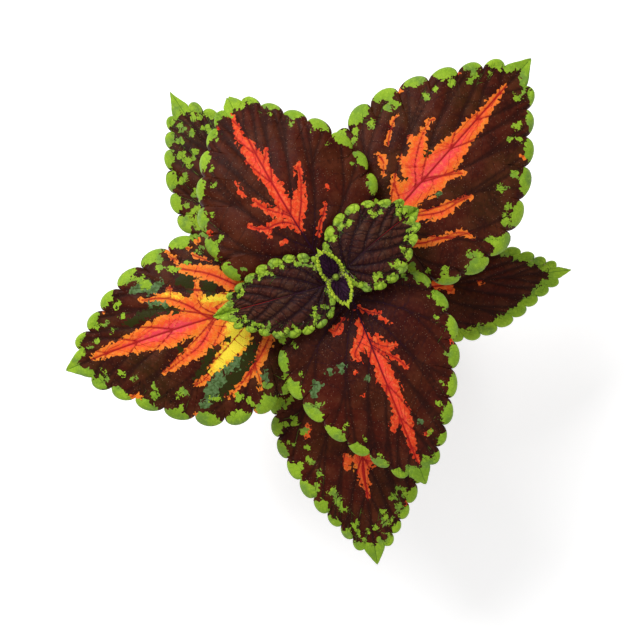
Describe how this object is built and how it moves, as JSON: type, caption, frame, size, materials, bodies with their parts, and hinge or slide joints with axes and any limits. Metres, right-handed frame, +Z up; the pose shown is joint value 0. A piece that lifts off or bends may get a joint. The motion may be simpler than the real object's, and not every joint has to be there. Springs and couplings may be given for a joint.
{
  "type": "potted coleus",
  "caption": "Bushy coleus in a plain nursery pot: dark toothed leaves with lime margins and orange-red flames along the veins.",
  "frame": {"origin": "middle of the pot's flat underside", "axes": "+Z up along the stem; the largest leaf points between +X and +Y"},
  "size_m": [0.3417, 0.3388, 0.2738],
  "materials": {
    "pot": "moulded, fine matte",
    "potting_mix": "crumbly, matte",
    "stem": "smooth green stem flushed purple, fine hairs",
    "leaf": "dark burgundy blade, lime teeth, orange-red flame, satin",
    "young_leaf": "lime margins, purple-black inside, satin"
  },
  "bodies": {
    "root": {"pot": "pot", "soil": "potting_mix", "stem": "stem", "shoot_tip": "young_leaf", "small_leaf_right": "leaf", "small_leaf_left": "leaf", "upper_leaf_back": "leaf", "upper_leaf_front": "leaf", "middle_leaf_right": "leaf", "middle_leaf_left": "leaf", "lower_leaf_back": "leaf", "lower_leaf_front": "leaf", "bottom_leaf_right": "leaf", "bottom_leaf_left": "leaf"}
  },
  "joints": []
}
